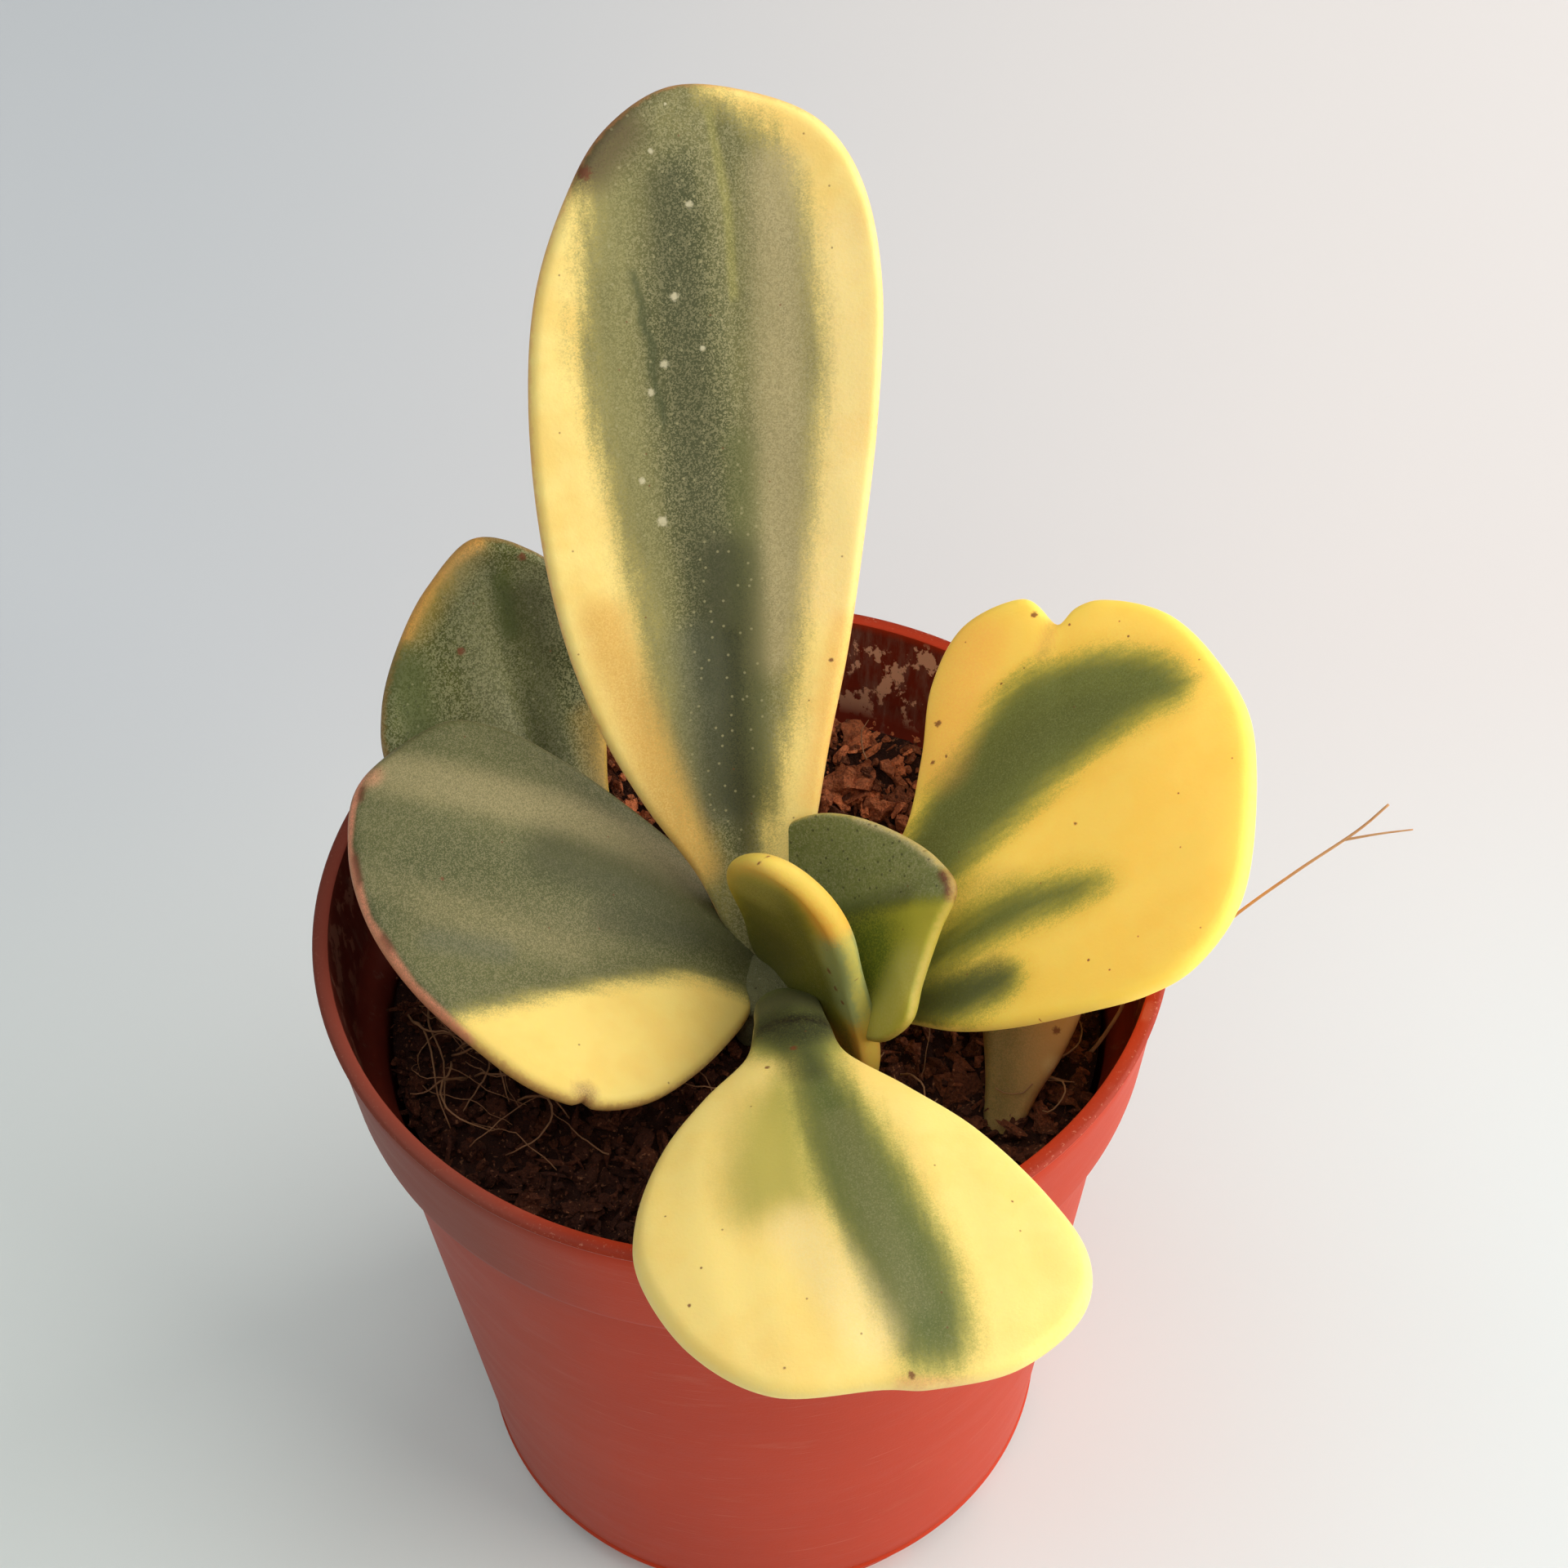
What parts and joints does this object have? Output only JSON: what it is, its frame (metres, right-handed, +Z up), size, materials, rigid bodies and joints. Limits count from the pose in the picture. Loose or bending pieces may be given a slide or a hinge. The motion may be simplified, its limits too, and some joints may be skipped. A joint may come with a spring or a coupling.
{
  "type": "potted blue bird silver jade plant",
  "caption": "Young variegated succulent with broad fleshy leaves in silver green and yellow on a short stem, growing in coir potting mix in a small round plastic nursery pot.",
  "frame": {"origin": "middle of the whole plant's footprint, on the surface that the pot stands on", "axes": "+Z up; the side the picture looks at faces -Y, and +X is to its right"},
  "size_m": [0.0684, 0.0666, 0.0989],
  "materials": {
    "pot_plastic": "satin moulded plastic, dusty and finely scratched",
    "mix": "rough coir and bark chips",
    "stem_bark": "dull, cracked at the leaf scars",
    "fibre": "dry coir fibre",
    "leaf_silver_green": "waxy, with a fine silvery bloom and yellow margins",
    "leaf_dark_green": "waxy, speckled, with an ochre edge",
    "leaf_yellow": "waxy, yellow with green patches",
    "leaf_pale": "waxy, pale ochre"
  },
  "bodies": {
    "root": {"pot": "pot_plastic", "potting_mix": "mix", "stem": "stem_bark", "coir_fibre": "fibre", "leaf_tall_back": "leaf_silver_green", "leaf_back_left": "leaf_dark_green", "leaf_left": "leaf_silver_green", "leaf_front": "leaf_yellow", "leaf_right": "leaf_yellow", "leaf_young_centre": "leaf_yellow", "leaf_small_right": "leaf_dark_green", "leaf_rooted": "leaf_pale"}
  },
  "joints": []
}
